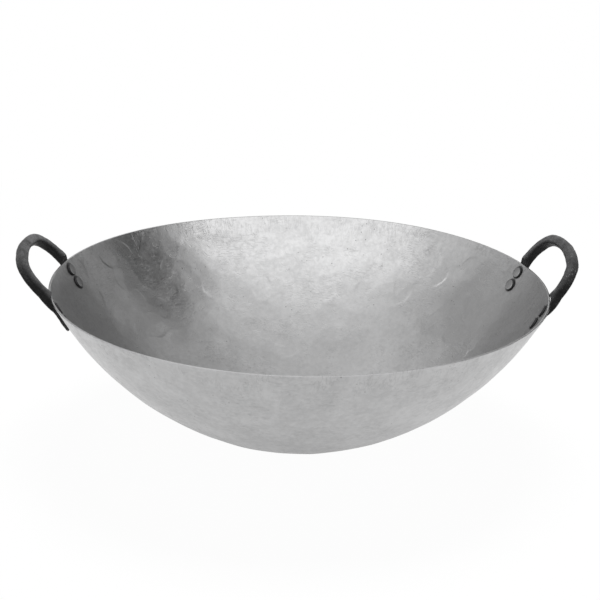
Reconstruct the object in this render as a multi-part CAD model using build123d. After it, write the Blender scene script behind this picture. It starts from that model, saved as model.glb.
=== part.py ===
from build123d import *
from math import acos, asin, atan2, cos, degrees, radians, sin, sqrt
import os

# A hand-hammered carbon steel wok with two forged loop handles.
# Millimetres, +Z up. The origin is the centre of the small flat under the bowl,
# and the handles stand out along +X (right) and -X (left).

# Bowl sheet
RIM_DIAMETER = 457.2
CROWN_DEPTH = 151.5
BASE_FLAT_DIAMETER = 56.0
SHEET = 1.6
RIM_EDGE_ROUND = 0.35
CROWN_ANGLE = 20.0
RIM_ANGLE = 63.3

# Loop handles: the bar, and the loop's centre line in its own sloping plane
BAR_WIDTH = 9.6
BAR_HEIGHT = 9.4
BAR_EDGE_ROUND = 2.8
ARM_SPACING = 114.4
LOOP_REACH = 43.7
LOOP_CORNER_RADIUS = 29.4
LOOP_END_RADIUS = 138.0
ARM_INSET = 0.8
LEFT_LOOP_ANGLE = 45.7
RIGHT_LOOP_ANGLE = 53.4

# Root, where each arm passes the rim and is hammered out into its tang
ROOT_WIDTH = 14.0
ROOT_HEIGHT = 8.6
ROOT_SHIFT = 0.8
ROOT_EDGE_ROUND = 2.6
ROOT_DROP = 9.0
SHOULDER_RISE = 6.5

# Tangs, flattened and laid on the outside of the wall
TANG_WIDTH = 17.0
TANG_THICKNESS = 2.5
TANG_LENGTH = 29.6
TANG_EDGE_ROUND = 1.1
TANG_END_TAPER = 2.2
TANG_TIP_THICKNESS = 2.1
SEAT_CLEARANCE = 0.05

# Rivets, two through each tang
RIVET_SHANK_DIAMETER = 4.8
RIVET_HOLE_CLEARANCE = 0.05
RIVET_DROP = 9.4
RIVET_PITCH = 14.2
HEAD_DIAMETER = 12.0
HEAD_FACE_DIAMETER = 10.6
HEAD_HEIGHT = 2.2
HEAD_CROWN = 0.35
HEAD_EDGE_ROUND = 0.6
HEAD_SEAT_GAP = 0.12
TAIL_DIAMETER = 8.2
TAIL_HEIGHT = 0.9
TAIL_RIM_HEIGHT = 0.35
TAIL_SEAT_DEPTH = 0.2
TAIL_SEAT_MARGIN = 0.25

# How far a cutting tool runs past what it cuts
OVERRUN = 6.0

RIM_RADIUS = RIM_DIAMETER / 2


def crown_and_wall_radii():
    """Radii of the two tangent arcs that join the bottom's centre to the rim."""
    a, b = radians(CROWN_ANGLE), radians(RIM_ANGLE)
    across_crown, across_wall = sin(a), sin(b) - sin(a)
    up_crown, up_wall = 1 - cos(a), cos(a) - cos(b)
    det = across_crown * up_wall - across_wall * up_crown
    crown = (RIM_RADIUS * up_wall - CROWN_DEPTH * across_wall) / det
    wall = (CROWN_DEPTH * across_crown - RIM_RADIUS * up_crown) / det
    return crown, wall


CROWN_RADIUS, WALL_RADIUS = crown_and_wall_radii()
FLAT_ANGLE = degrees(asin(BASE_FLAT_DIAMETER / 2 / CROWN_RADIUS))

# Centres of the crown arc and of the wall arc, as (radius, height), with the flat at zero height
CROWN_CENTRE = (0, CROWN_RADIUS * cos(radians(FLAT_ANGLE)))
WALL_CENTRE = (
    (CROWN_RADIUS - WALL_RADIUS) * sin(radians(CROWN_ANGLE)),
    CROWN_CENTRE[1] + (WALL_RADIUS - CROWN_RADIUS) * cos(radians(CROWN_ANGLE)),
)
RIM_HEIGHT = WALL_CENTRE[1] - WALL_RADIUS * cos(radians(RIM_ANGLE))

# Each arm's place along the rim, and the radius of the rim's chord there
ARM_HALF = ARM_SPACING / 2
ARM_AZIMUTH = degrees(asin(ARM_HALF / RIM_RADIUS))
ARM_RIM_X = sqrt(RIM_RADIUS**2 - ARM_HALF**2)


def on_arc(centre, radius, angle):
    """Point of a wall arc whose surface slopes at the angle, as (radius, height)."""
    t = radians(angle)
    return centre[0] + radius * sin(t), centre[1] - radius * cos(t)


def arc_between(centre, radius, start, end):
    """Profile arc between two surface slopes."""
    points = [on_arc(centre, radius, a) for a in (start, (start + end) / 2, end)]
    return ThreePointArc(*[(x, 0, z) for x, z in points])


def wall_profile(offset):
    """Crown and wall arcs, offset inwards, from the flat's level up to the rim's level."""
    crown, wall = CROWN_RADIUS - offset, WALL_RADIUS - offset
    flat_angle = degrees(acos((CROWN_CENTRE[1] - offset) / crown))
    top_angle = degrees(acos((WALL_CENTRE[1] - RIM_HEIGHT) / wall))
    return (
        arc_between(CROWN_CENTRE, crown, flat_angle, CROWN_ANGLE),
        arc_between(WALL_CENTRE, wall, CROWN_ANGLE, top_angle),
    )


def revolved(edges):
    """Solid of revolution about the Z axis of a closed run of edges in the XZ plane."""
    return revolve(make_face(Wire(edges)), axis=Axis.Z)


def bowl_solid():
    """Spun and hammered sheet: one wall thickness, a flat spot below, a level ground rim."""
    outer, inner = wall_profile(0), wall_profile(SHEET)
    outline = [
        Line((0, 0, 0), outer[0] @ 0),
        *outer,
        Line(outer[1] @ 1, inner[1] @ 1),
        *inner,
        Line(inner[0] @ 0, (0, 0, SHEET)),
        Line((0, 0, SHEET), (0, 0, 0)),
    ]
    sheet = revolved(outline)
    rim_edges = sheet.edges().filter_by(GeomType.CIRCLE).group_by(Axis.Z)[-1]
    return fillet(rim_edges, RIM_EDGE_ROUND)


def space_inside_wall():
    """All that lies inside the wall's outer face, carried straight up past the rim."""
    grown = wall_profile(-SEAT_CLEARANCE)
    lip = grown[1] @ 1
    top = RIM_HEIGHT + SHOULDER_RISE
    outline = [
        Line((0, 0, -SEAT_CLEARANCE), grown[0] @ 0),
        *grown,
        Line(lip, (lip.X, 0, top)),
        Line((lip.X, 0, top), (0, 0, top)),
        Line((0, 0, top), (0, 0, -SEAT_CLEARANCE)),
    ]
    return revolved(outline)


def wall_frame(drop):
    """Where a line at one arm's azimuth lies on the wall, a distance below the rim along it.

    Returns the point, the way up the wall, the way along the rim and the outward normal.
    """
    slope = RIM_ANGLE - degrees(drop / WALL_RADIUS)
    radius, height = on_arc(WALL_CENTRE, WALL_RADIUS, slope)
    turn, tilt = radians(ARM_AZIMUTH), radians(slope)
    point = Vector(radius * cos(turn), radius * sin(turn), height)
    up_wall = Vector(cos(tilt) * cos(turn), cos(tilt) * sin(turn), sin(tilt))
    along_rim = Vector(-sin(turn), cos(turn), 0)
    outward = Vector(sin(tilt) * cos(turn), sin(tilt) * sin(turn), -cos(tilt))
    return point, up_wall, along_rim, outward


def loop_plane(slope):
    """The sloping plane of one loop: X runs away from the bowl, Y along the rim."""
    tilt = radians(slope)
    origin = (ARM_RIM_X - ARM_INSET, 0, RIM_HEIGHT)
    return Plane(origin=origin, x_dir=(cos(tilt), 0, sin(tilt)), z_dir=(-sin(tilt), 0, cos(tilt)))


def loop_corner_centre():
    """Centre of the corner arc, tangent to a straight arm and to the loop's end arc."""
    across = ARM_HALF - LOOP_CORNER_RADIUS
    reach = LOOP_END_RADIUS - LOOP_CORNER_RADIUS
    return LOOP_REACH - LOOP_END_RADIUS + sqrt(reach**2 - across**2), across


def loop_path(plane):
    """Centre line of the bent bar: corner arc, shallow end arc, corner arc."""
    x, y = loop_corner_centre()
    end_x = LOOP_REACH - LOOP_END_RADIUS
    half = degrees(atan2(y, x - end_x))
    arcs = (
        CenterArc((x, y), LOOP_CORNER_RADIUS, 90, half - 90),
        CenterArc((end_x, 0), LOOP_END_RADIUS, half, -2 * half),
        CenterArc((x, -y), LOOP_CORNER_RADIUS, -half, half - 90),
    )
    return Wire([plane * arc for arc in arcs])


def section(origin, along, across, width, height, corner):
    """Rounded bar section: its width lies across, its height square to width and run."""
    plane = Plane(origin=origin, x_dir=across, z_dir=along)
    return (plane * RectangleRounded(width, height, corner)).face()


def arm_section(plane):
    """The bar's full section where the arm's corner arc begins."""
    x, _ = loop_corner_centre()
    origin = plane.from_local_coords((x, ARM_HALF, 0))
    return section(origin, plane.x_dir, plane.y_dir, BAR_WIDTH, BAR_HEIGHT, BAR_EDGE_ROUND)


def root_section(plane):
    """The bar's section at the rim, thinned and widened on its way to the tang."""
    origin = plane.from_local_coords((0, ARM_HALF, -ROOT_SHIFT))
    return section(origin, plane.x_dir, plane.y_dir, ROOT_WIDTH, ROOT_HEIGHT, ROOT_EDGE_ROUND)


def tang_section(drop, width, thickness):
    """The tang's section on the wall, running as far into the sheet as the tang is thick."""
    point, up_wall, along_rim, outward = wall_frame(drop)
    height = thickness + TANG_THICKNESS
    origin = point + outward * (SEAT_CLEARANCE + thickness - height / 2)
    return section(origin, up_wall, along_rim, width, height, TANG_EDGE_ROUND)


def tang_solid(plane):
    """One arm's root and tang, lofted from the bar down the wall to the tang's square tip."""
    full_end = TANG_LENGTH - TANG_END_TAPER
    middle = (ROOT_DROP + full_end) / 2
    blade = [tang_section(d, TANG_WIDTH, TANG_THICKNESS) for d in (ROOT_DROP, middle, full_end)]
    tip = tang_section(TANG_LENGTH, TANG_WIDTH - TANG_END_TAPER, TANG_TIP_THICKNESS)
    root = loft([arm_section(plane), root_section(plane), blade[0]])
    return root + loft(blade) + loft([blade[-1], tip], ruled=True)


def rivet_plane(drop, side):
    """Frame of one rivet: its origin is on the wall's outer face, +Z points outwards."""
    point, up_wall, along_rim, outward = wall_frame(drop)
    return Plane(
        origin=(point.X, point.Y * side, point.Z),
        x_dir=(up_wall.X, up_wall.Y * side, up_wall.Z),
        z_dir=(outward.X, outward.Y * side, outward.Z),
    )


RIVET_DROPS = {"upper": RIVET_DROP, "lower": RIVET_DROP + RIVET_PITCH}
RIVET_SIDES = {"front": -1, "back": 1}

# Levels along a rivet's axis, outwards from the wall's outer face
TAIL_LEVEL = SEAT_CLEARANCE + TANG_THICKNESS - TAIL_SEAT_DEPTH
HEAD_LEVEL = -SHEET - HEAD_SEAT_GAP


def rivet_holes():
    """Holes through the sheet and the tangs for the rivets of a handle on +X."""
    radius = RIVET_SHANK_DIAMETER / 2 + RIVET_HOLE_CLEARANCE
    low, high = HEAD_LEVEL - OVERRUN, TAIL_LEVEL + OVERRUN
    drill = Pos(0, 0, (low + high) / 2) * Cylinder(radius, high - low)
    planes = [rivet_plane(d, s) for d in RIVET_DROPS.values() for s in RIVET_SIDES.values()]
    return [plane * drill for plane in planes]


def tail_seats():
    """Shallow flat seats that the rivets' peened tails press into the tangs."""
    radius = TAIL_DIAMETER / 2 + TAIL_SEAT_MARGIN
    cutter = Pos(0, 0, TAIL_LEVEL + OVERRUN / 2) * Cylinder(radius, OVERRUN)
    planes = [rivet_plane(d, s) for d in RIVET_DROPS.values() for s in RIVET_SIDES.values()]
    return [plane * cutter for plane in planes]


def handle_solid(slope):
    """A forged loop handle on the bowl's +X side."""
    plane = loop_plane(slope)
    loop = sweep(arm_section(plane), path=loop_path(plane))
    tang = tang_solid(plane)
    handle = loop + tang + mirror(tang, Plane.XZ)
    handle = handle - space_inside_wall()
    return handle - rivet_holes() - tail_seats()


def dome_arc(radius, rim, top):
    """Profile arc of a ball face, from its rim to its top on the axis."""
    rise = top - rim
    ball = (radius**2 + rise**2) / (2 * rise)
    half = asin(radius / ball) / 2
    middle = (ball * sin(half), 0, top - ball + ball * cos(half))
    return ThreePointArc((radius, 0, rim), middle, (0, 0, top))


def rivet_solid():
    """A rivet about +Z: a low pan head inside the bowl, a shank and a peened tail outside."""
    head_r, face_r, shank_r = HEAD_DIAMETER / 2, HEAD_FACE_DIAMETER / 2, RIVET_SHANK_DIAMETER / 2
    tail_r = TAIL_DIAMETER / 2
    head_top, tail_base = HEAD_LEVEL - HEAD_HEIGHT, TAIL_LEVEL + SEAT_CLEARANCE
    face_edge = head_top + HEAD_CROWN
    tail_rim, tail_top = tail_base + TAIL_RIM_HEIGHT, tail_base + TAIL_HEIGHT
    outline = [
        dome_arc(face_r, face_edge, head_top),
        Line((face_r, 0, face_edge), (head_r, 0, HEAD_LEVEL)),
        Line((head_r, 0, HEAD_LEVEL), (shank_r, 0, HEAD_LEVEL)),
        Line((shank_r, 0, HEAD_LEVEL), (shank_r, 0, tail_base)),
        Line((shank_r, 0, tail_base), (tail_r, 0, tail_base)),
        Line((tail_r, 0, tail_base), (tail_r, 0, tail_rim)),
        dome_arc(tail_r, tail_rim, tail_top),
        Line((0, 0, tail_top), (0, 0, head_top)),
    ]
    rivet = revolved(outline)
    face_rim = rivet.edges().sort_by_distance((-face_r, 0, face_edge))[0]
    return fillet(face_rim, HEAD_EDGE_ROUND)


HALF_TURN = Rot(0, 0, 180)
LOOP_ANGLES = {"right": RIGHT_LOOP_ANGLE, "left": LEFT_LOOP_ANGLE}


def parts():
    """Every piece of the wok, by name."""
    holes = rivet_holes()
    made = {"bowl": bowl_solid() - holes - [HALF_TURN * hole for hole in holes]}
    rivet = rivet_solid()
    for side, slope in LOOP_ANGLES.items():
        turn = Rot(0, 0, 0) if side == "right" else HALF_TURN
        made[f"handle_{side}"] = turn * handle_solid(slope)
        for row, along in RIVET_SIDES.items():
            along = along if side == "right" else -along
            for level, drop in RIVET_DROPS.items():
                made[f"rivet_{side}_{row}_{level}"] = turn * (rivet_plane(drop, along) * rivet)
    return made


os.makedirs("parts", exist_ok=True)
for name, solid in parts().items():
    solid.label = name
    export_step(solid, f"parts/{name}.step")
    print(name, round(solid.volume, 1))
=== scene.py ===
from math import acos, asin, cos, pi, radians, sin, sqrt, tan

import bpy
import numpy as np
from bpy.props import FloatProperty, FloatVectorProperty, PointerProperty
from bpy.types import Operator, Panel, PropertyGroup
from mathutils import Matrix, Vector
from mathutils.kdtree import KDTree


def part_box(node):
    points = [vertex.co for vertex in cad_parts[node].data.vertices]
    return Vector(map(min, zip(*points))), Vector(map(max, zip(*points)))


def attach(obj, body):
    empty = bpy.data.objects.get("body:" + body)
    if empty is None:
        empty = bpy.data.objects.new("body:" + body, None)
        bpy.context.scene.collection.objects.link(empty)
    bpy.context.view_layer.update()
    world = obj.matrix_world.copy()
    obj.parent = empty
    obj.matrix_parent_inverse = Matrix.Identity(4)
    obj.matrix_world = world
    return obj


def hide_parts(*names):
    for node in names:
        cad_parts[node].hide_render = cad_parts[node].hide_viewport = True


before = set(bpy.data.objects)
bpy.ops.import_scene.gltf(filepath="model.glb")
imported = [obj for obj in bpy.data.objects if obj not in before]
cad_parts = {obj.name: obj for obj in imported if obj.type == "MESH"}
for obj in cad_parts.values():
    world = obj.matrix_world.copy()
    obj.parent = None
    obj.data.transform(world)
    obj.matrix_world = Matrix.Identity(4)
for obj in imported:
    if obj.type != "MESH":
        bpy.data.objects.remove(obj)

bl_info = {
    "name": "Hand-hammered wok",
    "version": (1, 0, 0),
    "blender": (4, 5, 0),
    "location": "View3D > Sidebar > Wok",
    "description": "Dresses a carbon steel wok: hammered bowl, forged handles, rivets and studio",
    "category": "Add Mesh",
}

MM = 0.001

WHITE = (1.0, 1.0, 1.0, 1.0)
# Dark marks on the steel, and the painted shade and painted shadow on it
GRIME_AND_SHADE = (0.04, 0.04, 0.04, 1.0)
# Painted shade on the handles
SHADE_BLACK = (0.01, 0.01, 0.01, 1.0)

# Seeds of the random draws. The handles' seeds lie ten apart, the rivets' one apart.
BLOW_SEED = 11
RIPPLE_SEED = 5
HANDLE_SEED = 20
RIVET_SEED = 60

# How finely shapes are sampled and smoothed
GRID_CELLS = 400
FLAT_STEPS = 60
CROWN_STEPS = 200
WALL_STEPS = 600
PROFILE_STEPS = 400
KINK_REACH = 0.004
RIM_ROWS = 6
RIPPLE_WAVES = 40
RELAX_ROUNDS = 12
EDGE_ROUNDS = 10

# How far the bowl's blows stray and reach, in blow spacings, and how unevenly deep they are
ROUND_STRAY = 0.35
UP_STRAY = 0.4
FACET_REACH = 1.5
FACET_RISE = 0.1

# Where the blows start to fade and the rim's marks to show, in shares of the way up the wall,
# and the share of the blows' depth that is left at the rim
RIM_FADE_START = 0.97
RIM_DEPTH_LEFT = 0.4
RIM_BAND_START = 0.86
RIM_BAND_WIDTH = 0.12

# Forging of the handles and setting of the rivets. The hammer's face is crowned to a radius.
HAMMER_FACE = 0.05
HANDLE_BLOWS = 260
RIVET_BLOWS = 7
HEAD_FACE_DEPTH = 0.6 * MM
HEAD_FACE_RADIUS = 5 * MM
# Painted shade on each rivet head's side: how far out from its axis and down from its face it
# starts, and how softly
HEAD_SHADE_RADIUS = 4.8 * MM
HEAD_SHADE_RADIUS_BLEND = 0.3 * MM
HEAD_SHADE_HEIGHT = 0.1 * MM
HEAD_SHADE_HEIGHT_BLEND = 0.25 * MM

# Where colours change with the place on the part, and by how much: the painted shadow round the
# rivets' feet, the rubbed scale, and the painted shade near the rim and on the camera's side of
# the handles
FOOT_SHADOW_REACH = 0.0080
FOOT_SHADOW_CORE = 0.0064
RUBBED_REACH = 0.060
RUBBED_CORE = 0.035
ROOT_SHADE_REACH = 0.022
ROOT_SHADE = 0.5
NEAR_SHADE_SIDE = (0.030, -0.015)
NEAR_SHADE = 0.36

SET_CENTRE = Vector((0.0, 0.0, 0.12))
FLOOR_REACH = 12.0
FLOOR_FADE = (0.3, 1.0)
MIRRORED_FADE = (0.04, 0.2)
MIRRORED_FAR_SHARE = 0.93

# Cards that only the metal mirrors: azimuths and elevations in degrees, and radiance
CARD_DISTANCE = 2.4
CARD_STEPS = 8
CARDS = (
    ("card_right", (76, 113), (6, 52), 0.02),
    ("card_right_mid", (113, 124), (33, 48), 0.2),
    ("card_right_high", (113, 124), (48, 58), 0.6),
    ("card_right_back", (113, 137), (4, 33), 0.5),
    ("card_back", (137, 165), (4, 25), 0.15),
    ("card_back_mid", (137, 170), (25, 33), 0.5),
    ("card_back_high", (124, 170), (33, 58), 0.6),
    ("card_left_low", (-176, -146), (-2, 24), 0.30),
    ("card_left_stripe", (-146, -129), (2, 28), 0.6),
    ("card_left_mid", (-129, -112), (20, 28), 0.34),
    ("card_left_tall", (-146, -112), (28, 42), 0.40),
    ("card_left_high", (-123, -98), (42, 53), 0.64),
    ("card_above", (105, 250), (58, 84), 0.8),
)

HANDLES = ("handle_left", "handle_right")
RIVETS = sorted(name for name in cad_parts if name.startswith("rivet_"))


# Settings that a user would change

class WokBowlSettings(PropertyGroup):
    """Sizes and colours of the hammered bowl."""

    rim_diameter: FloatProperty(
        name="Rim diameter", description="Across the outer edge of the rim",
        default=0.4572, unit="LENGTH")
    crown_depth: FloatProperty(
        name="Crown depth", description="Depth below the rim before the bottom is flattened",
        default=0.1515, unit="LENGTH")
    flat_diameter: FloatProperty(
        name="Flat diameter", description="Small hammered flat under the bowl",
        default=0.056, unit="LENGTH")
    sheet: FloatProperty(
        name="Sheet", description="Thickness of the sheet", default=0.0016, unit="LENGTH")
    rim_round: FloatProperty(
        name="Rim round", description="Height of the rim's ground round",
        default=0.00035, unit="LENGTH")
    crown_angle: FloatProperty(
        name="Crown angle", description="Slope where the crown's arc meets the wall's arc",
        default=radians(20), subtype="ANGLE")
    rim_angle: FloatProperty(
        name="Rim angle", description="Slope of the wall at the rim",
        default=radians(63.3), subtype="ANGLE")
    blow_spacing: FloatProperty(
        name="Blow spacing", description="Distance between hammer blows",
        default=0.0105, unit="LENGTH")
    facet_flatness: FloatProperty(
        name="Facet flatness", description="Share of the wall's curve that a blow flattens",
        default=0.55, min=0, max=1)
    facet_tilt: FloatProperty(
        name="Facet tilt", description="How far a blow's facet leans at random",
        default=radians(0.6), subtype="ANGLE")
    ripple: FloatProperty(
        name="Ripple", description="Height of the sheet's slow unevenness",
        default=0.00012, unit="LENGTH")
    rim_wave: FloatProperty(
        name="Rim wave", description="How far the rim rises and falls between the handles",
        default=0.0007, unit="LENGTH")
    oval_turn: FloatProperty(
        name="Oval turn", description="Where the first of the rim's two high places lies",
        default=radians(23), subtype="ANGLE")
    third_turn: FloatProperty(
        name="Third turn", description="Where the first of the rim's three high places lies",
        default=radians(47), subtype="ANGLE")
    colour: FloatVectorProperty(
        name="Steel", description="Colour of the bare steel", subtype="COLOR",
        default=(0.48, 0.48, 0.482), min=0, max=1)


class WokHandleSettings(PropertyGroup):
    """Finish of the forged loop handles."""

    voxel: FloatProperty(
        name="Mesh size", description="Size of the even mesh that the forging marks are cut in",
        default=0.0006, unit="LENGTH")
    blow_depth: FloatProperty(
        name="Blow depth", description="Depth of the forging blows",
        default=0.00009, unit="LENGTH")
    scale_depth: FloatProperty(
        name="Scale depth", description="Height of the fire scale's lumps",
        default=0.00006, unit="LENGTH")
    colour: FloatVectorProperty(
        name="Scale", description="Colour of the dark fire scale", subtype="COLOR",
        default=(0.075, 0.075, 0.076), min=0, max=1)
    worn_colour: FloatVectorProperty(
        name="Worn scale", description="Colour where the scale is rubbed thin", subtype="COLOR",
        default=(0.30, 0.30, 0.302), min=0, max=1)


class WokRivetSettings(PropertyGroup):
    """Finish of the rivets."""

    voxel: FloatProperty(
        name="Mesh size", description="Size of the even mesh that the blows are cut in",
        default=0.00032, unit="LENGTH")
    blow_depth: FloatProperty(
        name="Blow depth", description="Depth of the blows on a rivet's head",
        default=0.00008, unit="LENGTH")
    colour: FloatVectorProperty(
        name="Steel", description="Colour of the heads' faces", subtype="COLOR",
        default=(0.38, 0.38, 0.382), min=0, max=1)
    # Painted shade on the side of each rivet head
    head_side_shade_colour: FloatVectorProperty(
        name="Shade", description="Colour of the dark ring at a head's foot", subtype="COLOR",
        default=(0.02, 0.02, 0.021), min=0, max=1)


class WokStudioSettings(PropertyGroup):
    """Camera, floor and lamps."""

    lens: FloatProperty(
        name="Lens", description="Focal length on a 36 mm sensor", default=82.965,
        unit="CAMERA")
    elevation: FloatProperty(
        name="Elevation", description="How far the camera looks down",
        default=radians(19.25), subtype="ANGLE")
    turn: FloatProperty(
        name="Turn", description="How far the camera stands round to the left",
        default=radians(-3.56), subtype="ANGLE")
    roll: FloatProperty(
        name="Roll", description="Lean of the camera", default=radians(1.495), subtype="ANGLE")
    place: FloatVectorProperty(
        name="Camera place", description="Where the camera stands",
        default=(-0.0746, -1.2094, 0.5553), subtype="XYZ_LENGTH")
    floor_colour: FloatVectorProperty(
        name="Floor", description="Colour of the floor", subtype="COLOR",
        default=(0.90, 0.90, 0.90), min=0, max=1)
    ambient: FloatProperty(
        name="Ambient", description="Strength of the plain light from all round", default=0.12)
    mirrored: FloatProperty(
        name="Mirrored", description="How bright the studio's walls look in the metal",
        default=0.98)
    backdrop_share: FloatProperty(
        name="Backdrop share", description="How much of the floor's look is plain white backdrop",
        default=0.97, min=0, max=1)
    mirrored_share: FloatProperty(
        name="Mirrored share", description="The same share, as the metal mirrors the floor",
        default=0.5, min=0, max=1)


# Small helpers for meshes

def new_object(name, mesh):
    obj = bpy.data.objects.new(name, mesh)
    bpy.context.scene.collection.objects.link(obj)
    return obj


def mesh_from(name, points, faces):
    """Smooth-shaded mesh from arrays of points and faces."""
    mesh = bpy.data.meshes.new(name)
    mesh.from_pydata(points.tolist(), [], faces.tolist())
    mesh.polygons.foreach_set("use_smooth", np.ones(len(mesh.polygons), bool))
    mesh.update()
    return mesh


def points_of(mesh):
    points = np.empty(len(mesh.vertices) * 3, np.float32)
    mesh.vertices.foreach_get("co", points)
    return points.reshape(-1, 3).astype(float)


def normals_of(mesh):
    normals = np.empty(len(mesh.vertices) * 3, np.float32)
    mesh.vertex_normals.foreach_get("vector", normals)
    return normals.reshape(-1, 3).astype(float)


def set_points(mesh, points):
    mesh.vertices.foreach_set("co", points.astype(np.float32).ravel())
    mesh.update()


def add_point_values(mesh, name, values):
    layer = mesh.attributes.new(name, "FLOAT", "POINT")
    layer.data.foreach_set("value", values.astype(np.float32))


def even_copy(node, name, voxel):
    """Copy of a CAD node's shape in an even mesh, for forging marks."""
    obj = new_object(name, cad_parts[node].data.copy())
    remesh = obj.modifiers.new("Even mesh", "REMESH")
    remesh.mode = "VOXEL"
    remesh.voxel_size = voxel
    remesh.use_smooth_shade = True
    evaluated = obj.evaluated_get(bpy.context.evaluated_depsgraph_get())
    mesh = bpy.data.meshes.new_from_object(evaluated)
    obj.modifiers.clear()
    obj.data = mesh
    mesh.name = name
    mesh.materials.clear()
    return obj


def neighbour_mean(mesh, values):
    """Mean over each point's neighbours along its edges, column by column."""
    edges = np.empty(len(mesh.edges) * 2, np.int32)
    mesh.edges.foreach_get("vertices", edges)
    a, b = edges.reshape(-1, 2).T
    start, end = np.concatenate([a, b]), np.concatenate([b, a])
    count = np.bincount(start, minlength=len(values))
    columns = [np.bincount(start, column[end], len(values)) / count for column in values.T]
    return np.stack(columns, 1)


def relax(mesh, rounds):
    """Takes the flats of the CAD mesh out of round forms, without shrinking them."""
    points = points_of(mesh)
    for step in (0.6, -0.63) * rounds:
        points += step * (neighbour_mean(mesh, points) - points)
    set_points(mesh, points)


def edge_sharpness(mesh, rounds):
    """How convex the shape is at each point, from 0 on flats to 1 on sharp edges."""
    points, normals = points_of(mesh), normals_of(mesh)
    smooth = points
    for _ in range(rounds):
        smooth = neighbour_mean(mesh, smooth)
    bulge = ((points - smooth) * normals).sum(1)
    sharp = np.clip(bulge / np.percentile(bulge, 98), 0, 1)
    return neighbour_mean(mesh, sharp[:, None])[:, 0]


def near_finder(points):
    """Function that finds the points within a reach of a place."""
    tree = KDTree(len(points))
    for index, point in enumerate(points):
        tree.insert(point, index)
    tree.balance()

    def find(place, reach):
        return np.array([found[1] for found in tree.find_range(place, reach)], int)

    return find


def blows(points, centres, depths, face):
    """Depth that a set of hammer blows with a crowned face leaves at each point."""
    depth = np.zeros(len(points))
    find = near_finder(points)
    for centre, full in zip(centres, depths):
        near = find(centre, sqrt(2 * face * full))
        far2 = ((points[near] - centre) ** 2).sum(1)
        depth[near] = np.maximum(depth[near], full - far2 / (2 * face))
    return depth


def facets(points, centres, tilts, rises, reach, flatness):
    """Push that leaves a nearly flat facet round each blow, and a tone for each facet.

    Flatness is the curve that a facet takes away from the sheet. The facet that pushes least
    wins, so neighbours meet in a soft crease.
    """
    push = np.full(len(points), reach**2 * flatness / 2)
    tone = np.full(len(points), 0.5)
    find = near_finder(points)
    tones = np.random.default_rng(len(centres)).random(len(centres))
    for centre, tilt, rise, own_tone in zip(centres, tilts, rises, tones):
        near = find(centre, reach)
        off = points[near] - centre
        here = rise + off @ tilt + (off**2).sum(1) * flatness / 2
        wins = here < push[near]
        push[near[wins]], tone[near[wins]] = here[wins], own_tone
    return push, tone


def ripples(points, seed, count, longest, shortest):
    """Smooth random unevenness of about one unit, from waves between two lengths."""
    draw = np.random.default_rng(seed)
    ways = draw.normal(size=(count, 3))
    ways /= np.linalg.norm(ways, axis=1)[:, None]
    lengths = shortest * (longest / shortest) ** draw.random(count)
    phases = draw.random(count) * 2 * pi
    total = np.zeros(len(points))
    for way, length, phase in zip(ways, lengths, phases):
        total += np.sin(points @ way * (2 * pi / length) + phase)
    return total / sqrt(count / 2)


# Small helpers for shader nodes

def add_node(tree, kind, inputs=None, **settings):
    """A node with its settings, and with each input given as a socket or a value."""
    node = tree.nodes.new(kind)
    for name, value in settings.items():
        setattr(node, name, value)
    for key, value in (inputs or {}).items():
        if isinstance(value, bpy.types.NodeSocket):
            tree.links.new(value, node.inputs[key])
        else:
            node.inputs[key].default_value = value
    return node


def maths(tree, operation, *values):
    node = add_node(tree, "ShaderNodeMath", dict(enumerate(values)), operation=operation)
    return node.outputs[0]


def vector_maths(tree, operation, *values, output="Vector"):
    node = add_node(tree, "ShaderNodeVectorMath", dict(enumerate(values)), operation=operation)
    return node.outputs[output]


def spread(tree, value, low, high, to_low=0.0, to_high=1.0):
    """Maps a value from one range to another, smoothly and clamped."""
    node = add_node(
        tree, "ShaderNodeMapRange",
        {"Value": value, "From Min": low, "From Max": high, "To Min": to_low, "To Max": to_high},
        interpolation_type="SMOOTHSTEP")
    return node.outputs["Result"]


def blend_colour(tree, share, first, second):
    node = add_node(tree, "ShaderNodeMix", {0: share, 6: first, 7: second}, data_type="RGBA")
    return node.outputs[2]


def new_group(name, inputs, outputs):
    """Empty shader group with named sockets. Returns the group, its inputs and its output node."""
    group = bpy.data.node_groups.new(name, "ShaderNodeTree")
    for label, kind, default in inputs:
        socket = group.interface.new_socket(label, in_out="INPUT", socket_type=kind)
        if default is not None:
            socket.default_value = default
    for label, kind in outputs:
        group.interface.new_socket(label, in_out="OUTPUT", socket_type=kind)
    entry = group.nodes.new("NodeGroupInput")
    leave = group.nodes.new("NodeGroupOutput")
    return group, entry.outputs, leave


def use_group(tree, name, **inputs):
    """First output of a shared group, built the first time it is asked for."""
    group = bpy.data.node_groups.get(name) or GROUP_MAKERS[name]()
    given = {key.replace("_", " "): value for key, value in inputs.items()}
    return add_node(tree, "ShaderNodeGroup", given, node_tree=group).outputs[0]


def empty_tree(owner):
    """Node tree of a material or a world, with nothing in it."""
    owner.use_nodes = True
    owner.node_tree.nodes.clear()
    return owner.node_tree


def new_material(name):
    """Material with its Principled shader and its output."""
    material = bpy.data.materials.new(name)
    tree = empty_tree(material)
    shader = tree.nodes.new("ShaderNodeBsdfPrincipled")
    output = tree.nodes.new("ShaderNodeOutputMaterial")
    tree.links.new(shader.outputs["BSDF"], output.inputs["Surface"])
    return material, tree, shader


def object_place(tree):
    return tree.nodes.new("ShaderNodeTexCoord").outputs["Object"]


def noise_value(tree, vector, scale, detail=3.0, roughness=0.55, distortion=0.0):
    node = add_node(
        tree, "ShaderNodeTexNoise",
        {"Vector": vector, "Scale": scale, "Detail": detail, "Roughness": roughness,
         "Distortion": distortion})
    return node.outputs[0]


def point_value(tree, name):
    """Value that the mesh carries at its points."""
    return add_node(tree, "ShaderNodeAttribute", attribute_name=name).outputs["Fac"]


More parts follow.
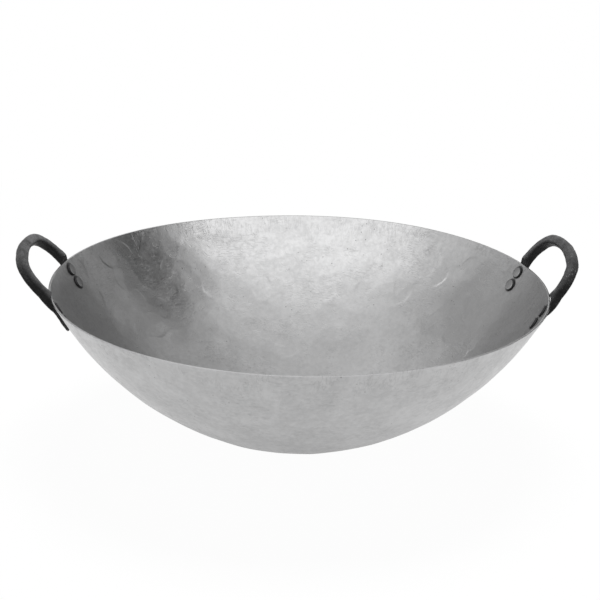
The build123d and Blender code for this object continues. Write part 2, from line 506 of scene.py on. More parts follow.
def white_glow(tree, strength):
    """Shader of a surface that only gives off white light."""
    glow = add_node(tree, "ShaderNodeEmission", {"Color": WHITE, "Strength": strength})
    return glow.outputs[0]


def ray_kinds(tree):
    """Whether a ray comes straight from the camera, and whether the metal mirrors it."""
    path = tree.nodes.new("ShaderNodeLightPath").outputs
    seen = maths(tree, "MAXIMUM", path["Is Camera Ray"], path["Is Transmission Ray"])
    return seen, path["Is Glossy Ray"]


def add_bump(tree, shader, height, strength, distance):
    bump = add_node(
        tree, "ShaderNodeBump", {"Strength": strength, "Distance": distance, "Height": height})
    tree.links.new(bump.outputs["Normal"], shader.inputs["Normal"])


# Shader groups that several materials share

def mottle_group():
    """Clouds of lighter and darker metal at two sizes."""
    group, given, leave = new_group(
        "Mottle",
        [("Vector", "NodeSocketVector", None), ("Cloud Scale", "NodeSocketFloat", 30.0),
         ("Speck Scale", "NodeSocketFloat", 300.0), ("Speck Share", "NodeSocketFloat", 0.4)],
        [("Value", "NodeSocketFloat")])
    cloud = noise_value(group, given["Vector"], given["Cloud Scale"], 4, 0.6, 0.6)
    speck = noise_value(group, given["Vector"], given["Speck Scale"], 3, 0.6)
    mixed = add_node(
        group, "ShaderNodeMix", {0: given["Speck Share"], 2: cloud, 3: speck}, data_type="FLOAT")
    group.links.new(spread(group, mixed.outputs[0], 0.3, 0.7), leave.inputs["Value"])
    return group


def crescent_group():
    """Nested short arcs that the edge of a hammer face leaves on its downhill side."""
    group, given, leave = new_group(
        "Hammer crescents",
        [("Vector", "NodeSocketVector", None), ("Scale", "NodeSocketFloat", 60.0),
         ("Radius", "NodeSocketFloat", 0.36), ("Width", "NodeSocketFloat", 0.1),
         ("Waves", "NodeSocketFloat", 2.0), ("Share", "NodeSocketFloat", 0.5)],
        [("Ridge", "NodeSocketFloat")])
    sway = add_node(group, "ShaderNodeTexNoise", {"Vector": given["Vector"], "Scale": 90.0})
    wavy = vector_maths(
        group, "MULTIPLY_ADD", sway.outputs["Color"], (0.007,) * 3, given["Vector"])
    scaled = add_node(
        group, "ShaderNodeVectorMath", {0: wavy, "Scale": given["Scale"]},
        operation="SCALE").outputs[0]
    cell = add_node(group, "ShaderNodeTexVoronoi", {"Vector": scaled, "Scale": 1.0})
    away = vector_maths(group, "SUBTRACT", scaled, cell.outputs["Position"])
    distance = vector_maths(group, "LENGTH", away, output="Value")
    off = maths(group, "SUBTRACT", distance, given["Radius"])
    off = maths(group, "DIVIDE", off, given["Width"])
    window = spread(group, maths(group, "ABSOLUTE", off), 1.0, 0.3)
    wave = maths(group, "COSINE", maths(
        group, "MULTIPLY", off, maths(group, "MULTIPLY", given["Waves"], pi)))
    chance = vector_maths(group, "SUBTRACT", cell.outputs["Color"], (0.5, 0.5, 0.5))
    downhill = vector_maths(
        group, "SUBTRACT", chance, vector_maths(group, "NORMALIZE", given["Vector"]))
    side = vector_maths(
        group, "DOT_PRODUCT", vector_maths(group, "NORMALIZE", away),
        vector_maths(group, "NORMALIZE", downhill), output="Value")
    arc = spread(group, side, 0.3, 0.75)
    split = add_node(group, "ShaderNodeSeparateColor", {0: cell.outputs["Color"]})
    chosen = maths(group, "LESS_THAN", split.outputs[0], given["Share"])
    ridge = maths(group, "MULTIPLY", maths(group, "MULTIPLY", wave, window), arc)
    group.links.new(maths(group, "MULTIPLY", ridge, chosen), leave.inputs["Ridge"])
    return group


def pit_group():
    """Small round pits, one in some of the cells."""
    group, given, leave = new_group(
        "Pits",
        [("Vector", "NodeSocketVector", None), ("Scale", "NodeSocketFloat", 200.0),
         ("Size", "NodeSocketFloat", 0.12), ("Share", "NodeSocketFloat", 0.2)],
        [("Mask", "NodeSocketFloat")])
    cell = add_node(
        group, "ShaderNodeTexVoronoi", {"Vector": given["Vector"], "Scale": given["Scale"]})
    near = maths(group, "DIVIDE", cell.outputs["Distance"], given["Size"])
    small = spread(group, near, 1.0, 0.5)
    split = add_node(group, "ShaderNodeSeparateColor", {0: cell.outputs["Color"]})
    chosen = maths(group, "LESS_THAN", split.outputs[1], given["Share"])
    group.links.new(maths(group, "MULTIPLY", small, chosen), leave.inputs["Mask"])
    return group


def bowl_chart(tree, place, up_scale, round_scale):
    """Place on a round bowl as distance up its wall and angle round it, each with its scale."""
    x, y, z = add_node(tree, "ShaderNodeSeparateXYZ", {0: place}).outputs
    angle = maths(tree, "ARCTAN2", y, x)
    flat = add_node(tree, "ShaderNodeCombineXYZ", {0: x, 1: y, 2: 0.0})
    radius = vector_maths(tree, "LENGTH", flat.outputs[0], output="Value")
    up = maths(tree, "MULTIPLY", maths(tree, "ADD", radius, z), up_scale)
    turns = maths(tree, "MULTIPLY", angle, round_scale)
    return add_node(tree, "ShaderNodeCombineXYZ", {0: up, 1: turns, 2: 0.0}).outputs[0]


def streak_group():
    """Streaks on a round bowl. They run the way that has the smaller scale."""
    group, given, leave = new_group(
        "Streaks",
        [("Vector", "NodeSocketVector", None), ("Up Scale", "NodeSocketFloat", 900.0),
         ("Round Scale", "NodeSocketFloat", 6.0)],
        [("Value", "NodeSocketFloat")])
    stretched = bowl_chart(group, given["Vector"], given["Up Scale"], given["Round Scale"])
    streak = noise_value(group, stretched, 1.0, 4, 0.6)
    group.links.new(spread(group, streak, 0.35, 0.65), leave.inputs["Value"])
    return group


def stroke_group():
    """Thin curved strokes in patches on a round bowl, longer the way of the smaller scale."""
    group, given, leave = new_group(
        "Strokes",
        [("Vector", "NodeSocketVector", None), ("Up Scale", "NodeSocketFloat", 300.0),
         ("Round Scale", "NodeSocketFloat", 20.0), ("Patch Scale", "NodeSocketFloat", 24.0),
         ("Patch Share", "NodeSocketFloat", 0.5), ("Width", "NodeSocketFloat", 0.06)],
        [("Ridge", "NodeSocketFloat")])
    along = bowl_chart(group, given["Vector"], given["Up Scale"], given["Round Scale"])
    off = maths(group, "ABSOLUTE", maths(
        group, "SUBTRACT", noise_value(group, along, 1.0, 1.5, 0.5, 0.4), 0.5))
    line = spread(group, off, given["Width"], 0.0)
    patch = noise_value(group, given["Vector"], given["Patch Scale"], 2.0)
    start = maths(group, "SUBTRACT", 1.0, given["Patch Share"])
    inside = spread(group, patch, start, maths(group, "ADD", start, 0.06))
    group.links.new(maths(group, "MULTIPLY", line, inside), leave.inputs["Ridge"])
    return group


GROUP_MAKERS = {"Mottle": mottle_group, "Hammer crescents": crescent_group, "Pits": pit_group,
                "Streaks": streak_group, "Strokes": stroke_group}


# Materials

def tinted(colour, factor=1.0):
    return (*(factor * channel for channel in colour), 1.0)


def foot_shadow(tree, place):
    """Painted shadow: dark ring on the sheet round each rivet, mirrored from one tang to the other
    three.
    """
    mirrored = vector_maths(tree, "ABSOLUTE", place)
    reach = None
    for node in ("rivet_right_back_upper", "rivet_right_back_lower"):
        lo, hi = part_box(node)
        far = vector_maths(tree, "DISTANCE", mirrored, tuple((lo + hi) / 2), output="Value")
        reach = far if reach is None else maths(tree, "MINIMUM", reach, far)
    return spread(tree, reach, FOOT_SHADOW_REACH, FOOT_SHADOW_CORE)


def steel_material(settings):
    """Bare hammered carbon steel with clouds, nested arcs, strokes, pits, drag marks and painted
    shade.
    """
    material, tree, shader = new_material("Hammered steel")
    place = object_place(tree)
    clouds = use_group(tree, "Mottle", Vector=place, Cloud_Scale=38.0, Speck_Scale=230.0,
                       Speck_Share=0.55)
    streaks = use_group(tree, "Streaks", Vector=place, Up_Scale=900.0, Round_Scale=9.0)
    patches = spread(tree, noise_value(tree, place, 14.0, 2.0), 0.5, 0.62)
    drags = maths(tree, "MULTIPLY", patches, use_group(
        tree, "Streaks", Vector=place, Up_Scale=240.0, Round_Scale=14.0))
    wide = use_group(tree, "Hammer crescents", Vector=place, Scale=58.0, Radius=0.36,
                     Width=0.11, Waves=2.0, Share=0.4)
    small = use_group(tree, "Hammer crescents", Vector=place, Scale=105.0, Radius=0.36,
                      Width=0.16, Waves=2.0, Share=0.5)
    arcs = maths(tree, "MULTIPLY_ADD", small, 0.5, maths(tree, "MULTIPLY", wide, 0.45))
    strokes = use_group(tree, "Strokes", Vector=place, Up_Scale=230.0, Round_Scale=16.0,
                        Patch_Scale=26.0, Patch_Share=0.5, Width=0.045)
    cluster = spread(tree, noise_value(tree, place, 22.0, 2.0), 0.52, 0.6)
    pits = maths(tree, "MULTIPLY", cluster, use_group(
        tree, "Pits", Vector=place, Scale=330.0, Size=0.26, Share=0.09))
    grain = noise_value(tree, place, 800.0, 2.0)
    rim, edge, facet = [point_value(tree, name) for name in ("rim", "rim_edge", "facet_tone")]
    ticks = maths(tree, "MULTIPLY", rim, use_group(
        tree, "Strokes", Vector=place, Up_Scale=60.0, Round_Scale=70.0, Patch_Scale=40.0,
        Patch_Share=0.52, Width=0.06))
    shade = maths(tree, "MULTIPLY_ADD", maths(tree, "SUBTRACT", facet, 0.5), 0.35, clouds)
    base = blend_colour(
        tree, shade, tinted(settings.colour, 0.91), tinted(settings.colour, 1.06))
    base = blend_colour(tree, edge, base, tinted(settings.colour, 1.0))
    # Painted shade: the small arcs darken in their valleys only, where their value is below zero.
    # The ring round each rivet's foot is a painted shadow.
    for marks, strength in ((strokes, 0.12), (ticks, 0.14), (pits, 0.55), (small, -0.1),
                            (foot_shadow(tree, place), 0.85)):
        dark = maths(tree, "MULTIPLY", marks, strength)
        base = blend_colour(tree, dark, base, GRIME_AND_SHADE)
    tree.links.new(base, shader.inputs["Base Color"])
    shader.inputs["Metallic"].default_value = 1.0
    rough = spread(tree, clouds, 0.0, 1.0, 0.35, 0.27)
    rough = maths(tree, "MULTIPLY_ADD", streaks, 0.04, rough)
    tree.links.new(rough, shader.inputs["Roughness"])
    height = arcs
    for mark, depth in ((streaks, 0.06), (drags, 0.6), (pits, -0.8), (clouds, 0.35), (ticks, 0.7),
                        (strokes, 0.6), (grain, 0.5)):
        height = maths(tree, "MULTIPLY_ADD", mark, depth, height)
    add_bump(tree, shader, height, strength=0.8, distance=0.0001)
    return material


def rubbed_patch(tree, place):
    """Mask over the right handle's near arm, where the scale is rubbed most."""
    lo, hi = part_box("handle_right")
    middle = Vector(((lo.x + hi.x) / 2, lo.y, (lo.z + hi.z) / 2))
    far = vector_maths(tree, "DISTANCE", place, tuple(middle), output="Value")
    return spread(tree, far, RUBBED_REACH, RUBBED_CORE)


def scale_material(settings):
    """Dark fire scale on forged bar.

    It is rubbed lighter on edges, and painted shade makes it darker near the rim and on the
    camera's side.
    """
    material, tree, shader = new_material("Forged scale")
    place = object_place(tree)
    clouds = use_group(tree, "Mottle", Vector=place, Cloud_Scale=90.0, Speck_Scale=700.0,
                       Speck_Share=0.45)
    pits = use_group(tree, "Pits", Vector=place, Scale=480.0, Size=0.5, Share=0.3)
    specks = use_group(tree, "Pits", Vector=place, Scale=520.0, Size=0.45, Share=0.4)
    edge = point_value(tree, "edge_wear")
    worn = maths(tree, "MULTIPLY", spread(tree, edge, 0.8, 1.0), spread(tree, clouds, 0.15, 0.7))
    patch = maths(tree, "MULTIPLY", rubbed_patch(tree, place), spread(tree, clouds, 0.3, 0.7))
    specks = maths(tree, "MULTIPLY", specks, maths(tree, "MULTIPLY_ADD", patch, 0.9, 0.08))
    base = blend_colour(tree, clouds, tinted(settings.colour, 0.6), tinted(settings.colour, 1.6))
    base = blend_colour(tree, worn, base, tinted(settings.worn_colour))
    # Painted shade: darker near the rim and on the camera's side of the handles
    rim_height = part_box("bowl")[1].z
    _, y, z = add_node(tree, "ShaderNodeSeparateXYZ", {0: place}).outputs
    rim_shade = spread(tree, z, rim_height + ROOT_SHADE_REACH, rim_height)
    rim_shade = maths(tree, "MULTIPLY", rim_shade, ROOT_SHADE)
    near = maths(tree, "MULTIPLY", spread(tree, y, *NEAR_SHADE_SIDE), NEAR_SHADE)
    dark = maths(tree, "MAXIMUM", rim_shade, near)
    base = blend_colour(tree, dark, base, SHADE_BLACK)
    base = blend_colour(tree, specks, base, tinted(settings.worn_colour, 0.7))
    tree.links.new(base, shader.inputs["Base Color"])
    shader.inputs["Specular IOR Level"].default_value = 0.1
    tree.links.new(spread(tree, clouds, 0.0, 1.0, 0.58, 0.38), shader.inputs["Roughness"])
    height = maths(tree, "SUBTRACT", clouds, maths(tree, "MULTIPLY", pits, 0.7))
    add_bump(tree, shader, height, strength=0.7, distance=0.0002)
    return material


def rivet_material(settings):
    """Bare steel on a rivet's face, painted shade on the side of its head."""
    material, tree, shader = new_material("Rivet steel")
    place = object_place(tree)
    clouds = use_group(tree, "Mottle", Vector=place, Cloud_Scale=160.0, Speck_Scale=900.0,
                       Speck_Share=0.4)
    # Painted shade on the head's side: dark, less metal and rougher
    head_side_shade = point_value(tree, "head_side_shade")
    base = blend_colour(tree, clouds, tinted(settings.colour, 0.8), tinted(settings.colour))
    base = blend_colour(tree, head_side_shade, base, tinted(settings.head_side_shade_colour))
    tree.links.new(base, shader.inputs["Base Color"])
    metal = maths(tree, "SUBTRACT", 1.0, maths(tree, "MULTIPLY", head_side_shade, 0.9))
    tree.links.new(metal, shader.inputs["Metallic"])
    rough = maths(tree, "ADD", spread(tree, clouds, 0.0, 1.0, 0.38, 0.30),
                  maths(tree, "MULTIPLY", head_side_shade, 0.35))
    tree.links.new(rough, shader.inputs["Roughness"])
    add_bump(tree, shader, clouds, strength=0.4, distance=0.0001)
    return material


# The bowl

def wall_face(settings, offset):
    """One face of the sheet from the axis to the rim: radius, height and distance along it.

    A crown arc and a wall arc are tangent to each other. The crown is flat at the bottom.
    """
    rim = settings.rim_diameter / 2
    a, b = settings.crown_angle, settings.rim_angle
    across_crown, across_wall = sin(a), sin(b) - sin(a)
    up_crown, up_wall = 1 - cos(a), cos(a) - cos(b)
    det = across_crown * up_wall - across_wall * up_crown
    crown = (rim * up_wall - settings.crown_depth * across_wall) / det
    wall = (settings.crown_depth * across_crown - rim * up_crown) / det
    flat_angle = asin(settings.flat_diameter / 2 / crown)
    crown_z = crown * cos(flat_angle)
    wall_r, wall_z = (crown - wall) * sin(a), crown_z + (wall - crown) * cos(a)
    rim_z = wall_z - wall * cos(b)
    crown, wall = crown - offset, wall - offset
    start, end = acos((crown_z - offset) / crown), acos((wall_z - rim_z) / wall)
    low, high = np.linspace(start, a, CROWN_STEPS), np.linspace(a, end, WALL_STEPS)
    flat = np.linspace(0, crown * sin(start), FLAT_STEPS)
    radius = np.concatenate([flat, crown * np.sin(low)[1:], wall_r + wall * np.sin(high)[1:]])
    height = np.concatenate([
        np.full(FLAT_STEPS, offset), crown_z - crown * np.cos(low)[1:],
        wall_z - wall * np.cos(high)[1:]])
    along = np.concatenate([[0], np.cumsum(np.hypot(np.diff(radius), np.diff(height)))])
    return radius, height, along


def soft_face(settings, offset):
    """The face's profile evenly sampled, with the flat's kink hammered soft.

    Returns each sample's share of the way up, its radius and height, and its normal.
    """
    radius, height, along = wall_face(settings, offset)
    even = np.linspace(0, along[-1], PROFILE_STEPS)
    r, z = np.interp(even, along, radius), np.interp(even, along, height)
    width = max(3, int(KINK_REACH / (along[-1] / PROFILE_STEPS)) | 1)
    pad = width // 2
    mirrored = np.concatenate([z[pad:0:-1], z, 2 * z[-1] - z[-2:-pad - 2:-1]])
    z = np.convolve(mirrored, np.ones(width) / width, "valid")
    slope = np.gradient(z, even), np.gradient(r, even)
    length = np.hypot(*slope)
    return even / even[-1], r, z, slope[0] / length, -slope[1] / length


def disc_grid(cells):
    """Square grid mapped onto a disc.

    Returns each point's radius share and angle, the quads, and the points' numbers as a grid.
    """
    line = np.linspace(-1, 1, cells + 1)
    a, b = [g.ravel() for g in np.meshgrid(line, line)]
    wide = np.abs(a) >= np.abs(b)
    safe_a, safe_b = np.where(a == 0, 1, a), np.where(b == 0, 1, b)
    share = np.where(wide, a, b)
    angle = np.where(wide, pi / 4 * b / safe_a, pi / 2 - pi / 4 * a / safe_b)
    angle = np.where(share == 0, 0, angle)
    angle = np.where(share < 0, angle + pi, angle)
    index = np.arange((cells + 1) ** 2).reshape(cells + 1, cells + 1)
    quads = np.stack([index[:-1, :-1], index[:-1, 1:], index[1:, 1:], index[1:, :-1]], -1)
    return np.abs(share), angle % (2 * pi), quads.reshape(-1, 4), index


def outer_loop(index):
    """The grid's border points in order round it."""
    return np.concatenate([index[0, :-1], index[:-1, -1], index[-1, :0:-1], index[:0:-1, 0]])


def blow_places(settings, draw):
    """Hammer blows in uneven rings from the bottom to the rim."""
    share, r, z, _, _ = soft_face(settings, settings.sheet / 2)
    length = wall_face(settings, settings.sheet / 2)[2][-1]
    places = []
    for ring in np.arange(settings.blow_spacing / 2, length, settings.blow_spacing):
        here = np.interp(ring / length, share, r)
        count = max(3, int(2 * pi * here / settings.blow_spacing))
        turns = (np.arange(count) + draw.normal(0, ROUND_STRAY, count)) * 2 * pi / count
        rows = (ring + draw.normal(0, UP_STRAY, count) * settings.blow_spacing) / length
        rows = np.clip(rows, 0, 1)
        radius, height = np.interp(rows, share, r), np.interp(rows, share, z)
        places += list(np.stack([radius * np.cos(turns), radius * np.sin(turns), height], 1))
    return np.array(places)


def hammering(settings, points):
    """Outward push of the hammered sheet at each point, and the tone of its facets."""
    draw = np.random.default_rng(BLOW_SEED)
    places = blow_places(settings, draw)
    wall_curve = 2 * sin(settings.rim_angle) / settings.rim_diameter
    flatness = settings.facet_flatness * wall_curve
    tilts = draw.normal(0, tan(settings.facet_tilt), (len(places), 3))
    reach = FACET_REACH * settings.blow_spacing
    rises = draw.random(len(places)) * FACET_RISE * reach**2 * flatness
    push, tone = facets(points, places, tilts, rises, reach, flatness)
    push += settings.ripple * ripples(
        points, RIPPLE_SEED, RIPPLE_WAVES, longest=0.09, shortest=0.028)
    return push, tone


def rim_lift(settings, share, angle):
    """Slow rise and fall of the rim, none at the handles and fading down the wall."""
    wave = np.cos(2 * (angle - settings.oval_turn)) + np.cos(3 * (angle - settings.third_turn))
    clear = np.sin(angle) ** 2
    return settings.rim_wave * wave * clear * share**4


def bowl_mesh(settings, cells):
    """The hammered sheet: an outer and an inner face joined by a ground rim."""
    share, angle, quads, index = disc_grid(cells)
    middle = soft_face(settings, settings.sheet / 2)
    r, z = [np.interp(share, middle[0], column) for column in middle[1:3]]
    sheet_place = np.stack([r * np.cos(angle), r * np.sin(angle), z], 1)
    push, tone = hammering(settings, sheet_place)
    push *= np.interp(share, [0, RIM_FADE_START, 1], [1, 1, RIM_DEPTH_LEFT])
    lift = rim_lift(settings, share, angle)
    faces = []
    for offset in (0, settings.sheet):
        profile = soft_face(settings, offset)
        r, z, out_r, out_z = [np.interp(share, profile[0], column) for column in profile[1:]]
        r, z = r + out_r * push, z + out_z * push + lift
        faces.append(np.stack([r * np.cos(angle), r * np.sin(angle), z], 1))
    outer, inner = faces
    count = len(outer)
    loop = outer_loop(index)
    rim_points, rim_quads = rim_strip(settings, outer[loop], inner[loop], loop, count)
    points = np.concatenate([outer, inner, rim_points])
    mesh = mesh_from("bowl_sheet", points, np.concatenate(
        [quads[:, ::-1], quads + count, rim_quads]))
    near_rim = np.clip((share - RIM_BAND_START) / RIM_BAND_WIDTH, 0, 1)
    add_point_values(mesh, "rim", np.concatenate([near_rim, near_rim, np.ones(len(rim_points))]))
    ground = np.concatenate([np.zeros(2 * count), np.ones(len(rim_points))])
    add_point_values(mesh, "rim_edge", ground)
    rim_tone = np.full(len(rim_points), 0.5)
    add_point_values(mesh, "facet_tone", np.concatenate([tone, tone, rim_tone]))
    return mesh


def rim_strip(settings, outer, inner, loop, count):
    """Rows of points over the rim's round, and the quads that join both faces."""
    rows = []
    for step in (1 - np.cos(np.linspace(0, pi, RIM_ROWS + 2)[1:-1])) / 2:
        row = outer * (1 - step) + inner * step
        row[:, 2] += settings.rim_round * 2 * sqrt(step * (1 - step))
        rows.append(row)
    size = len(loop)
    between = [2 * count + size * k + np.arange(size) for k in range(len(rows))]
    rings = [loop] + between + [loop + count]
    quads = []
    for low, high in zip(rings[:-1], rings[1:]):
        quads.append(np.stack([low, np.roll(low, -1), np.roll(high, -1), high], 1))
    return np.concatenate(rows), np.concatenate(quads)


class WOK_OT_bowl(Operator):
    """Builds the hammered sheet bowl"""

    bl_idname = "wok.bowl"
    bl_label = "Hammered bowl"

    def execute(self, context):
        settings = context.scene.wok_bowl
        cells = GRID_CELLS
        bowl = new_object("bowl_sheet", bowl_mesh(settings, cells))
        bowl.data.materials.append(steel_material(settings))
        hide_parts("bowl")
        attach(bowl, "root")
        return {"FINISHED"}


# The handles

def forge(obj, settings, seed):
    """Cuts forging blows and fire scale into a handle's even mesh."""
    mesh = obj.data
    relax(mesh, RELAX_ROUNDS)
    points, normals = points_of(mesh), normals_of(mesh)
    draw = np.random.default_rng(seed)
    centres = points[draw.integers(0, len(points), HANDLE_BLOWS)]
    depths = settings.blow_depth * draw.uniform(0.3, 1.0, len(centres))
    push = -blows(points, centres, depths, HAMMER_FACE)
    push += settings.scale_depth * ripples(
        points, seed + 1, RIPPLE_WAVES, longest=0.02, shortest=0.006)
    push += 0.4 * settings.scale_depth * ripples(
        points, seed + 2, RIPPLE_WAVES, longest=0.004, shortest=0.002)
    set_points(mesh, points + normals * push[:, None])
    add_point_values(mesh, "edge_wear", edge_sharpness(mesh, EDGE_ROUNDS))


class WOK_OT_handles(Operator):
    """Builds both forged loop handles"""

    bl_idname = "wok.handles"
    bl_label = "Forged handles"

    def execute(self, context):
        settings = context.scene.wok_handles
        material = scale_material(settings)
        for number, node in enumerate(HANDLES):
            handle = even_copy(node, f"{node}_forged", settings.voxel)
            forge(handle, settings, HANDLE_SEED + 10 * number)
            handle.data.materials.append(material)
            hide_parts(node)
            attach(handle, "root")
        return {"FINISHED"}


# The rivets

def rivet_axis(node):
    """A rivet's middle and its way out of the bowl, from the CAD node's shape."""
    points = points_of(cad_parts[node].data)
    middle = (points.min(0) + points.max(0)) / 2
    _, ways = np.linalg.eigh(np.cov((points - middle).T))
    spans = [np.ptp(points @ way) for way in ways.T]
    way = ways.T[int(np.argmin(spans))]
    inward = np.array([-middle[0], -middle[1], 0.5 * np.hypot(*middle[:2])])
    way = way if way @ inward < 0 else -way
    return middle, way


def dress_rivet(obj, node, settings, seed):
    """Cuts blows into the head and marks a dark ring of painted shade on its side, down to its
    foot.
    """
    mesh = obj.data
    points, normals = points_of(mesh), normals_of(mesh)
    middle, way = rivet_axis(node)
    level = (points - middle) @ way
    head = level.min()
    far = np.linalg.norm(points - middle - level[:, None] * way, axis=1)
    draw = np.random.default_rng(seed)
    face = np.flatnonzero((level < head + HEAD_FACE_DEPTH) & (far < HEAD_FACE_RADIUS))
    centres = points[draw.choice(face, RIVET_BLOWS)]
    depths = settings.blow_depth * draw.uniform(0.5, 1.2, RIVET_BLOWS)
    push = -blows(points, centres, depths, HAMMER_FACE)
    set_points(mesh, points + normals * push[:, None])
    # Painted shade on the head's side, outside its face and below its top
    height = level - head
    side = np.clip((far - HEAD_SHADE_RADIUS) / HEAD_SHADE_RADIUS_BLEND, 0, 1)
    foot = np.clip((height - HEAD_SHADE_HEIGHT) / HEAD_SHADE_HEIGHT_BLEND, 0, 1)
    add_point_values(mesh, "head_side_shade", side * foot)


class WOK_OT_rivets(Operator):
    """Builds the rivets that hold the handles"""

    bl_idname = "wok.rivets"
    bl_label = "Rivets"

    def execute(self, context):
        settings = context.scene.wok_rivets
        material = rivet_material(settings)
        for number, node in enumerate(RIVETS):
            rivet = even_copy(node, f"{node}_set", settings.voxel)
            dress_rivet(rivet, node, settings, RIVET_SEED + number)
            rivet.data.materials.append(material)
            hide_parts(node)
            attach(rivet, "root")
        return {"FINISHED"}


# The studio

def make_world(settings):
    """White for the camera, a little less in the metal, and soft plain light on the rest."""
    world = bpy.data.worlds.new("Studio")
    bpy.context.scene.world = world
    tree = empty_tree(world)
    seen, in_metal = ray_kinds(tree)
    strength = settings.ambient
    for rays, level in ((in_metal, settings.mirrored), (seen, 1.0)):
        strength = maths(tree, "MULTIPLY_ADD", rays, level - settings.ambient, strength)
    sky = add_node(tree, "ShaderNodeBackground", {"Color": WHITE, "Strength": strength})
    output = tree.nodes.new("ShaderNodeOutputWorld")
    tree.links.new(sky.outputs[0], output.inputs["Surface"])


def make_floor(settings):
    """Pale floor that keeps a faint shadow near the bowl and fades into the white backdrop.

    In the metal it has a level of its own, and it throws no soft light back on the pieces.
    """
    sides = ((-1, -1, 0), (1, -1, 0), (1, 1, 0), (-1, 1, 0))
    mesh = mesh_from("studio_floor", FLOOR_REACH * np.array(sides), np.array([[0, 1, 2, 3]]))
    floor = new_object("studio_floor", mesh)
    material, tree, shader = new_material("Pale floor")
    shader.inputs["Base Color"].default_value = (*settings.floor_colour, 1.0)
    shader.inputs["Roughness"].default_value = 1.0
    far = vector_maths(tree, "LENGTH", object_place(tree), output="Value")
    seen, in_metal = ray_kinds(tree)
    straight = spread(tree, far, *FLOOR_FADE, settings.backdrop_share, 1.0)
    mirrored = spread(
        tree, far, *MIRRORED_FADE, settings.mirrored_share, MIRRORED_FAR_SHARE)
    share = maths(tree, "MULTIPLY", in_metal, mirrored)
    share = maths(tree, "MULTIPLY_ADD", seen, straight, share)
    mixed = add_node(
        tree, "ShaderNodeMixShader",
        {0: share, 1: shader.outputs["BSDF"], 2: white_glow(tree, 1.0)})
    output = next(node for node in tree.nodes if node.type == "OUTPUT_MATERIAL")
    tree.links.new(mixed.outputs[0], output.inputs["Surface"])
    floor.data.materials.append(material)
    floor.visible_diffuse = False


def way_to(azimuth, elevation):
    """Way from the set to a place round it. Azimuth 0 is the camera's side, 90 the right."""
    turn, rise = radians(azimuth), radians(elevation)
    return Vector((sin(turn) * cos(rise), -cos(turn) * cos(rise), sin(rise)))


def make_lamp(name, distance, azimuth, elevation, width, height, radiance):
    """Soft box that faces the set and that the camera doesn't see."""
    lamp = bpy.data.lights.new(name, "AREA")
    lamp.shape = "RECTANGLE"
    lamp.size, lamp.size_y = width, height
    lamp.energy = radiance * pi * width * height
    obj = new_object(name, lamp)
    obj.location = SET_CENTRE + distance * way_to(azimuth, elevation)
    obj.rotation_mode = "QUATERNION"
    obj.rotation_quaternion = (SET_CENTRE - obj.location).to_track_quat("-Z", "Y")
    obj.visible_camera = False
    return obj


def make_card(name, azimuths, elevations, radiance):
    """Grey or dark card round the set, seen only in the metal."""
    row = CARD_STEPS + 1
    columns = np.linspace(*azimuths, row)
    points = np.array([SET_CENTRE + CARD_DISTANCE * way_to(turn, rise)
                       for rise in elevations for turn in columns])
    quads = np.array([(k, k + 1, k + row + 1, k + row) for k in range(CARD_STEPS)])
    card = new_object(name, mesh_from(name, points, quads))
    material = bpy.data.materials.new(name)
    tree = empty_tree(material)
    output = tree.nodes.new("ShaderNodeOutputMaterial")
    tree.links.new(white_glow(tree, radiance), output.inputs["Surface"])
    card.data.materials.append(material)
    card.visible_camera = False
    card.visible_diffuse = False
    card.visible_shadow = False


def make_camera(settings):
    camera = bpy.data.cameras.new("Photo camera")
    camera.sensor_width = 36.0
    camera.lens = settings.lens
    camera.clip_start, camera.clip_end = 0.05, 50.0
    obj = new_object("Photo camera", camera)
    turn = Matrix.Rotation(settings.turn, 4, "Z")
    tilt = Matrix.Rotation(pi / 2 - settings.elevation, 4, "X")
    roll = Matrix.Rotation(settings.roll, 4, "Z")
    obj.matrix_world = Matrix.Translation(settings.place) @ turn @ tilt @ roll
    bpy.context.scene.camera = obj


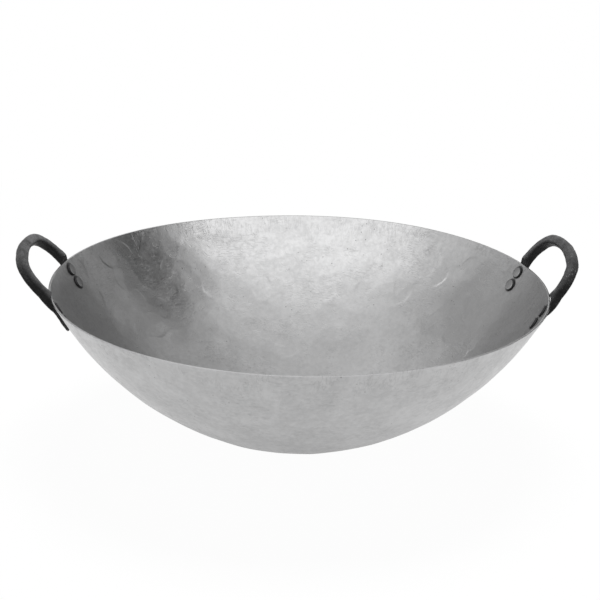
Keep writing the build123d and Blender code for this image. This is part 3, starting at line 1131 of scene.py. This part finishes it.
class WOK_OT_studio(Operator):
    """Sets the camera, the pale floor, the lamps and the cards"""

    bl_idname = "wok.studio"
    bl_label = "Studio"

    def execute(self, context):
        settings = context.scene.wok_studio
        context.scene.view_settings.view_transform = "Standard"
        make_camera(settings)
        make_world(settings)
        make_floor(settings)
        key = make_lamp("Key lamp", distance=1.9, azimuth=-6, elevation=48,
                        width=5.0, height=1.75, radiance=0.73)
        key.visible_diffuse = False
        form = make_lamp("Form lamp", distance=2.0, azimuth=165, elevation=76,
                         width=0.9, height=0.9, radiance=22.0)
        form.visible_glossy = False
        for name, azimuths, elevations, radiance in CARDS:
            make_card(name, azimuths, elevations, radiance)
        return {"FINISHED"}


class WOK_PT_panel(Panel):
    """Lists the wok's pieces and their settings."""

    bl_label = "Wok"
    bl_idname = "WOK_PT_panel"
    bl_space_type = "VIEW_3D"
    bl_region_type = "UI"
    bl_category = "Wok"

    def draw(self, context):
        for operator, settings in PIECES:
            box = self.layout.box()
            box.operator(operator.bl_idname)
            group_settings = getattr(context.scene, settings)
            for prop in group_settings.bl_rna.properties:
                if prop.identifier not in ("rna_type", "name"):
                    box.prop(group_settings, prop.identifier)


PIECES = (
    (WOK_OT_studio, "wok_studio"),
    (WOK_OT_bowl, "wok_bowl"),
    (WOK_OT_handles, "wok_handles"),
    (WOK_OT_rivets, "wok_rivets"),
)
SETTINGS = {
    "wok_studio": WokStudioSettings,
    "wok_bowl": WokBowlSettings,
    "wok_handles": WokHandleSettings,
    "wok_rivets": WokRivetSettings,
}


def register():
    for name, settings in SETTINGS.items():
        bpy.utils.register_class(settings)
        setattr(bpy.types.Scene, name, PointerProperty(type=settings))
    for operator, _ in PIECES:
        bpy.utils.register_class(operator)
    bpy.utils.register_class(WOK_PT_panel)


def unregister():
    bpy.utils.unregister_class(WOK_PT_panel)
    for operator, _ in reversed(PIECES):
        bpy.utils.unregister_class(operator)
    for name, settings in SETTINGS.items():
        delattr(bpy.types.Scene, name)
        bpy.utils.unregister_class(settings)


def main():
    register()
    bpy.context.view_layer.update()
    bpy.ops.wok.studio()
    bpy.ops.wok.bowl()
    bpy.ops.wok.handles()
    bpy.ops.wok.rivets()
    bpy.context.view_layer.update()


if __name__ == "__main__":
    main()
